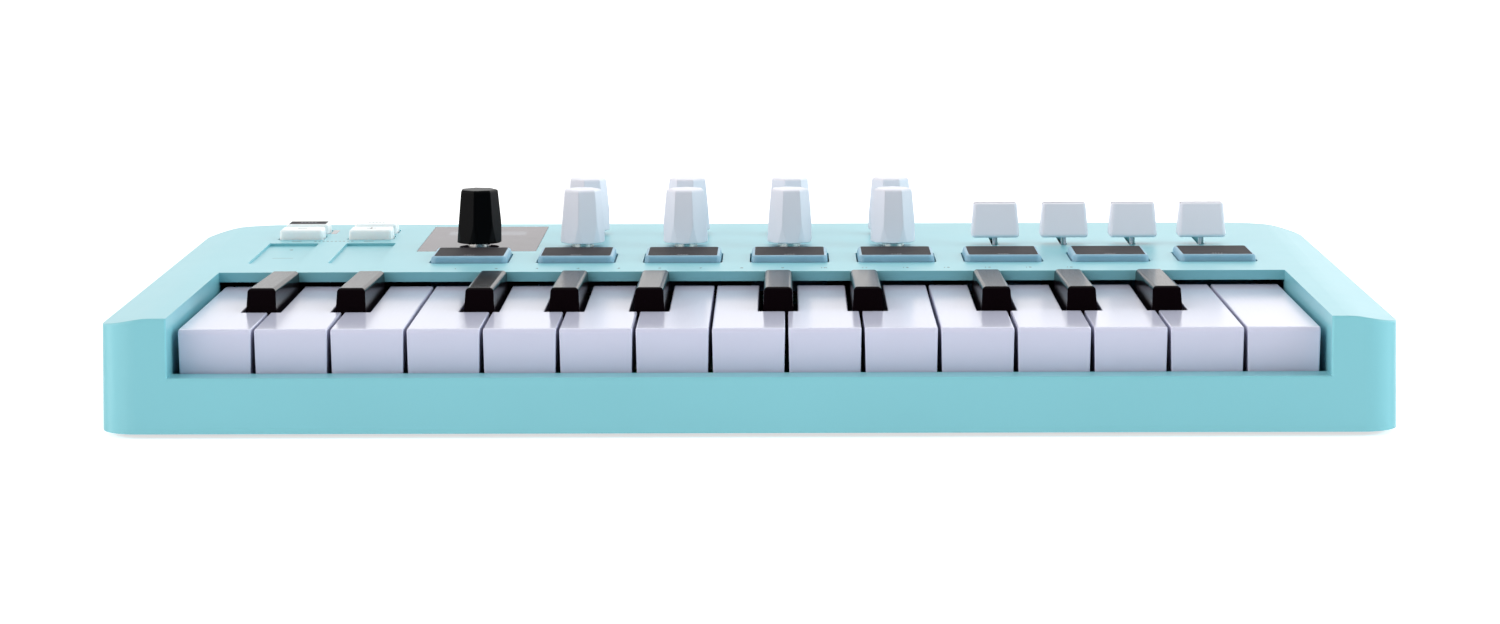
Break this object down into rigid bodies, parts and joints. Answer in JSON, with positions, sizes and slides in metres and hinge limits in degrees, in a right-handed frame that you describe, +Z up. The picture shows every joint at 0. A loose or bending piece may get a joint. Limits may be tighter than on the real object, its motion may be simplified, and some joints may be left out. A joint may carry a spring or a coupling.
{
  "type": "midi keyboard",
  "caption": "Compact slim-key MIDI keyboard controller with pads, endless knobs, faders, octave buttons and a small display in a mint case.",
  "frame": {"origin": "middle of the footprint at the level the rubber feet stand on", "axes": "+X to the player's right, +Y from the keys to the back, +Z up"},
  "size_m": [0.3566, 0.22, 0.0517],
  "materials": {
    "case_plastic": "satin moulded mint-cyan plastic",
    "dark_plastic": "fine textured dark plastic",
    "frame_plastic": "plain moulded plastic",
    "spring_steel": "drawn spring wire",
    "circuit_board": "solder-masked board with soldered parts",
    "window_gloss": "high gloss dark window",
    "foot_rubber": "matte rubber",
    "screw_steel": "blackened steel",
    "black_cap": "satin black plastic",
    "rotor_plastic": "plain moulded plastic",
    "frosted_white": "frosted translucent plastic",
    "white_key": "gloss white plastic",
    "black_key": "gloss black plastic",
    "white_cap": "fine satin white plastic",
    "pad_rubber": "translucent silicone rubber with a dark top"
  },
  "bodies": {
    "case": {"top_cover": "case_plastic", "bottom_cover": "dark_plastic", "key_chassis": "frame_plastic", "key_springs": "spring_steel", "key_contact_board": "circuit_board", "circuit_boards": "circuit_board", "display_window": "window_gloss", "rubber_feet": "foot_rubber", "screws": "screw_steel"},
    "white_key_c1": {"white_key_c1": "white_key"},
    "black_key_c_sharp1": {"black_key_c_sharp1": "black_key"},
    "white_key_d1": {"white_key_d1": "white_key"},
    "black_key_d_sharp1": {"black_key_d_sharp1": "black_key"},
    "white_key_e1": {"white_key_e1": "white_key"},
    "white_key_f1": {"white_key_f1": "white_key"},
    "black_key_f_sharp1": {"black_key_f_sharp1": "black_key"},
    "white_key_g1": {"white_key_g1": "white_key"},
    "black_key_g_sharp1": {"black_key_g_sharp1": "black_key"},
    "white_key_a1": {"white_key_a1": "white_key"},
    "black_key_a_sharp1": {"black_key_a_sharp1": "black_key"},
    "white_key_b1": {"white_key_b1": "white_key"},
    "white_key_c2": {"white_key_c2": "white_key"},
    "black_key_c_sharp2": {"black_key_c_sharp2": "black_key"},
    "white_key_d2": {"white_key_d2": "white_key"},
    "black_key_d_sharp2": {"black_key_d_sharp2": "black_key"},
    "white_key_e2": {"white_key_e2": "white_key"},
    "white_key_f2": {"white_key_f2": "white_key"},
    "black_key_f_sharp2": {"black_key_f_sharp2": "black_key"},
    "white_key_g2": {"white_key_g2": "white_key"},
    "black_key_g_sharp2": {"black_key_g_sharp2": "black_key"},
    "white_key_a2": {"white_key_a2": "white_key"},
    "black_key_a_sharp2": {"black_key_a_sharp2": "black_key"},
    "white_key_b2": {"white_key_b2": "white_key"},
    "white_key_c3": {"white_key_c3": "white_key"},
    "knob_front_1": {"knob_front_1": "white_cap"},
    "knob_front_2": {"knob_front_2": "white_cap"},
    "knob_front_3": {"knob_front_3": "white_cap"},
    "knob_front_4": {"knob_front_4": "white_cap"},
    "knob_rear_1": {"knob_rear_1": "white_cap"},
    "knob_rear_2": {"knob_rear_2": "white_cap"},
    "knob_rear_3": {"knob_rear_3": "white_cap"},
    "knob_rear_4": {"knob_rear_4": "white_cap"},
    "pad_1": {"pad_1": "pad_rubber"},
    "pad_2": {"pad_2": "pad_rubber"},
    "pad_3": {"pad_3": "pad_rubber"},
    "pad_4": {"pad_4": "pad_rubber"},
    "pad_5": {"pad_5": "pad_rubber"},
    "pad_6": {"pad_6": "pad_rubber"},
    "pad_7": {"pad_7": "pad_rubber"},
    "pad_8": {"pad_8": "pad_rubber"},
    "fader_1": {"fader_1": "white_cap"},
    "fader_2": {"fader_2": "white_cap"},
    "fader_3": {"fader_3": "white_cap"},
    "fader_4": {"fader_4": "white_cap"},
    "octave_down_button": {"octave_down_button": "frosted_white"},
    "octave_up_button": {"octave_up_button": "frosted_white"},
    "shift_button": {"shift_button": "frosted_white"},
    "hold_button": {"hold_button": "frosted_white"},
    "main_encoder_rotor": {"main_encoder_rotor": "rotor_plastic"},
    "main_encoder_knob": {"main_encoder_knob": "black_cap"}
  },
  "joints": [
    {"name": "black_key_f_sharp1_press", "type": "hinge", "parent": "case", "child": "black_key_f_sharp1", "pos_m": [0, -0.001, 0.0205], "axis": [1, 0, 0], "range_deg": [0, 2.85], "stiffness_Nm_per_rad": 0.35, "springref_deg": -171.89},
    {"name": "fader_1_slide", "type": "slide", "parent": "case", "child": "fader_1", "axis": [0, 1, 0], "range_m": [0, 0.03]},
    {"name": "fader_2_slide", "type": "slide", "parent": "case", "child": "fader_2", "axis": [0, 1, 0], "range_m": [0, 0.03]},
    {"name": "fader_3_slide", "type": "slide", "parent": "case", "child": "fader_3", "axis": [0, 1, 0], "range_m": [0, 0.03]},
    {"name": "fader_4_slide", "type": "slide", "parent": "case", "child": "fader_4", "axis": [0, 1, 0], "range_m": [0, 0.03]},
    {"name": "main_encoder_push", "type": "slide", "parent": "main_encoder_rotor", "child": "main_encoder_knob", "axis": [0, 0, -1], "range_m": [0, 0.0005], "stiffness_N_per_m": 2000, "springref_m": -0.0003},
    {"name": "main_encoder_turn", "type": "hinge", "parent": "case", "child": "main_encoder_rotor", "pos_m": [-0.086, 0.049, 0.0275], "axis": [0, 0, -1], "continuous": true},
    {"name": "hold_button_press", "type": "slide", "parent": "case", "child": "hold_button", "axis": [0, 0, -1], "range_m": [0, 0.0008], "stiffness_N_per_m": 1500, "springref_m": -0.0004},
    {"name": "shift_button_press", "type": "slide", "parent": "case", "child": "shift_button", "axis": [0, 0, -1], "range_m": [0, 0.0008], "stiffness_N_per_m": 1500, "springref_m": -0.0004},
    {"name": "octave_up_button_press", "type": "slide", "parent": "case", "child": "octave_up_button", "axis": [0, 0, -1], "range_m": [0, 0.0008], "stiffness_N_per_m": 1500, "springref_m": -0.0004},
    {"name": "octave_down_button_press", "type": "slide", "parent": "case", "child": "octave_down_button", "axis": [0, 0, -1], "range_m": [0, 0.0008], "stiffness_N_per_m": 1500, "springref_m": -0.0004},
    {"name": "knob_front_1_turn", "type": "hinge", "parent": "case", "child": "knob_front_1", "pos_m": [-0.0535, 0.049, 0.0355], "axis": [0, 0, -1], "continuous": true},
    {"name": "knob_rear_2_turn", "type": "hinge", "parent": "case", "child": "knob_rear_2", "pos_m": [-0.021, 0.0815, 0.0355], "axis": [0, 0, -1], "continuous": true},
    {"name": "pad_1_press", "type": "slide", "parent": "case", "child": "pad_1", "axis": [0, 0, -1], "range_m": [0, 0.0008], "stiffness_N_per_m": 4000, "springref_m": -0.0002},
    {"name": "pad_8_press", "type": "slide", "parent": "case", "child": "pad_8", "axis": [0, 0, -1], "range_m": [0, 0.0008], "stiffness_N_per_m": 4000, "springref_m": -0.0002},
    {"name": "white_key_c1_press", "type": "hinge", "parent": "case", "child": "white_key_c1", "pos_m": [0, -0.001, 0.0205], "axis": [1, 0, 0], "range_deg": [0, 2.85], "stiffness_Nm_per_rad": 0.35, "springref_deg": -171.89},
    {"name": "white_key_d1_press", "type": "hinge", "parent": "case", "child": "white_key_d1", "pos_m": [0, -0.001, 0.0205], "axis": [1, 0, 0], "range_deg": [0, 2.85], "stiffness_Nm_per_rad": 0.35, "springref_deg": -171.89},
    {"name": "white_key_g1_press", "type": "hinge", "parent": "case", "child": "white_key_g1", "pos_m": [0, -0.001, 0.0205], "axis": [1, 0, 0], "range_deg": [0, 2.85], "stiffness_Nm_per_rad": 0.35, "springref_deg": -171.89},
    {"name": "white_key_c3_press", "type": "hinge", "parent": "case", "child": "white_key_c3", "pos_m": [0, -0.001, 0.0205], "axis": [1, 0, 0], "range_deg": [0, 2.85], "stiffness_Nm_per_rad": 0.35, "springref_deg": -171.89},
    {"name": "black_key_a_sharp2_press", "type": "hinge", "parent": "case", "child": "black_key_a_sharp2", "pos_m": [0, -0.001, 0.0205], "axis": [1, 0, 0], "range_deg": [0, 2.85], "stiffness_Nm_per_rad": 0.35, "springref_deg": -171.89},
    {"name": "pad_2_press", "type": "slide", "parent": "case", "child": "pad_2", "axis": [0, 0, -1], "range_m": [0, 0.0008], "stiffness_N_per_m": 4000, "springref_m": -0.0002},
    {"name": "pad_3_press", "type": "slide", "parent": "case", "child": "pad_3", "axis": [0, 0, -1], "range_m": [0, 0.0008], "stiffness_N_per_m": 4000, "springref_m": -0.0002},
    {"name": "pad_4_press", "type": "slide", "parent": "case", "child": "pad_4", "axis": [0, 0, -1], "range_m": [0, 0.0008], "stiffness_N_per_m": 4000, "springref_m": -0.0002},
    {"name": "pad_5_press", "type": "slide", "parent": "case", "child": "pad_5", "axis": [0, 0, -1], "range_m": [0, 0.0008], "stiffness_N_per_m": 4000, "springref_m": -0.0002},
    {"name": "pad_6_press", "type": "slide", "parent": "case", "child": "pad_6", "axis": [0, 0, -1], "range_m": [0, 0.0008], "stiffness_N_per_m": 4000, "springref_m": -0.0002},
    {"name": "pad_7_press", "type": "slide", "parent": "case", "child": "pad_7", "axis": [0, 0, -1], "range_m": [0, 0.0008], "stiffness_N_per_m": 4000, "springref_m": -0.0002},
    {"name": "knob_front_2_turn", "type": "hinge", "parent": "case", "child": "knob_front_2", "pos_m": [-0.021, 0.049, 0.0355], "axis": [0, 0, -1], "continuous": true},
    {"name": "knob_front_3_turn", "type": "hinge", "parent": "case", "child": "knob_front_3", "pos_m": [0.0115, 0.049, 0.0355], "axis": [0, 0, -1], "continuous": true},
    {"name": "knob_front_4_turn", "type": "hinge", "parent": "case", "child": "knob_front_4", "pos_m": [0.044, 0.049, 0.0355], "axis": [0, 0, -1], "continuous": true},
    {"name": "knob_rear_1_turn", "type": "hinge", "parent": "case", "child": "knob_rear_1", "pos_m": [-0.0535, 0.0815, 0.0355], "axis": [0, 0, -1], "continuous": true},
    {"name": "knob_rear_3_turn", "type": "hinge", "parent": "case", "child": "knob_rear_3", "pos_m": [0.0115, 0.0815, 0.0355], "axis": [0, 0, -1], "continuous": true},
    {"name": "knob_rear_4_turn", "type": "hinge", "parent": "case", "child": "knob_rear_4", "pos_m": [0.044, 0.0815, 0.0355], "axis": [0, 0, -1], "continuous": true},
    {"name": "white_key_e1_press", "type": "hinge", "parent": "case", "child": "white_key_e1", "pos_m": [0, -0.001, 0.0205], "axis": [1, 0, 0], "range_deg": [0, 2.85], "stiffness_Nm_per_rad": 0.35, "springref_deg": -171.89},
    {"name": "white_key_f1_press", "type": "hinge", "parent": "case", "child": "white_key_f1", "pos_m": [0, -0.001, 0.0205], "axis": [1, 0, 0], "range_deg": [0, 2.85], "stiffness_Nm_per_rad": 0.35, "springref_deg": -171.89},
    {"name": "white_key_a1_press", "type": "hinge", "parent": "case", "child": "white_key_a1", "pos_m": [0, -0.001, 0.0205], "axis": [1, 0, 0], "range_deg": [0, 2.85], "stiffness_Nm_per_rad": 0.35, "springref_deg": -171.89},
    {"name": "white_key_b1_press", "type": "hinge", "parent": "case", "child": "white_key_b1", "pos_m": [0, -0.001, 0.0205], "axis": [1, 0, 0], "range_deg": [0, 2.85], "stiffness_Nm_per_rad": 0.35, "springref_deg": -171.89},
    {"name": "white_key_c2_press", "type": "hinge", "parent": "case", "child": "white_key_c2", "pos_m": [0, -0.001, 0.0205], "axis": [1, 0, 0], "range_deg": [0, 2.85], "stiffness_Nm_per_rad": 0.35, "springref_deg": -171.89},
    {"name": "white_key_d2_press", "type": "hinge", "parent": "case", "child": "white_key_d2", "pos_m": [0, -0.001, 0.0205], "axis": [1, 0, 0], "range_deg": [0, 2.85], "stiffness_Nm_per_rad": 0.35, "springref_deg": -171.89},
    {"name": "white_key_e2_press", "type": "hinge", "parent": "case", "child": "white_key_e2", "pos_m": [0, -0.001, 0.0205], "axis": [1, 0, 0], "range_deg": [0, 2.85], "stiffness_Nm_per_rad": 0.35, "springref_deg": -171.89},
    {"name": "white_key_f2_press", "type": "hinge", "parent": "case", "child": "white_key_f2", "pos_m": [0, -0.001, 0.0205], "axis": [1, 0, 0], "range_deg": [0, 2.85], "stiffness_Nm_per_rad": 0.35, "springref_deg": -171.89},
    {"name": "white_key_g2_press", "type": "hinge", "parent": "case", "child": "white_key_g2", "pos_m": [0, -0.001, 0.0205], "axis": [1, 0, 0], "range_deg": [0, 2.85], "stiffness_Nm_per_rad": 0.35, "springref_deg": -171.89},
    {"name": "white_key_a2_press", "type": "hinge", "parent": "case", "child": "white_key_a2", "pos_m": [0, -0.001, 0.0205], "axis": [1, 0, 0], "range_deg": [0, 2.85], "stiffness_Nm_per_rad": 0.35, "springref_deg": -171.89},
    {"name": "white_key_b2_press", "type": "hinge", "parent": "case", "child": "white_key_b2", "pos_m": [0, -0.001, 0.0205], "axis": [1, 0, 0], "range_deg": [0, 2.85], "stiffness_Nm_per_rad": 0.35, "springref_deg": -171.89},
    {"name": "black_key_c_sharp1_press", "type": "hinge", "parent": "case", "child": "black_key_c_sharp1", "pos_m": [0, -0.001, 0.0205], "axis": [1, 0, 0], "range_deg": [0, 2.85], "stiffness_Nm_per_rad": 0.35, "springref_deg": -171.89},
    {"name": "black_key_d_sharp1_press", "type": "hinge", "parent": "case", "child": "black_key_d_sharp1", "pos_m": [0, -0.001, 0.0205], "axis": [1, 0, 0], "range_deg": [0, 2.85], "stiffness_Nm_per_rad": 0.35, "springref_deg": -171.89},
    {"name": "black_key_g_sharp1_press", "type": "hinge", "parent": "case", "child": "black_key_g_sharp1", "pos_m": [0, -0.001, 0.0205], "axis": [1, 0, 0], "range_deg": [0, 2.85], "stiffness_Nm_per_rad": 0.35, "springref_deg": -171.89},
    {"name": "black_key_a_sharp1_press", "type": "hinge", "parent": "case", "child": "black_key_a_sharp1", "pos_m": [0, -0.001, 0.0205], "axis": [1, 0, 0], "range_deg": [0, 2.85], "stiffness_Nm_per_rad": 0.35, "springref_deg": -171.89},
    {"name": "black_key_c_sharp2_press", "type": "hinge", "parent": "case", "child": "black_key_c_sharp2", "pos_m": [0, -0.001, 0.0205], "axis": [1, 0, 0], "range_deg": [0, 2.85], "stiffness_Nm_per_rad": 0.35, "springref_deg": -171.89},
    {"name": "black_key_d_sharp2_press", "type": "hinge", "parent": "case", "child": "black_key_d_sharp2", "pos_m": [0, -0.001, 0.0205], "axis": [1, 0, 0], "range_deg": [0, 2.85], "stiffness_Nm_per_rad": 0.35, "springref_deg": -171.89},
    {"name": "black_key_f_sharp2_press", "type": "hinge", "parent": "case", "child": "black_key_f_sharp2", "pos_m": [0, -0.001, 0.0205], "axis": [1, 0, 0], "range_deg": [0, 2.85], "stiffness_Nm_per_rad": 0.35, "springref_deg": -171.89},
    {"name": "black_key_g_sharp2_press", "type": "hinge", "parent": "case", "child": "black_key_g_sharp2", "pos_m": [0, -0.001, 0.0205], "axis": [1, 0, 0], "range_deg": [0, 2.85], "stiffness_Nm_per_rad": 0.35, "springref_deg": -171.89}
  ]
}
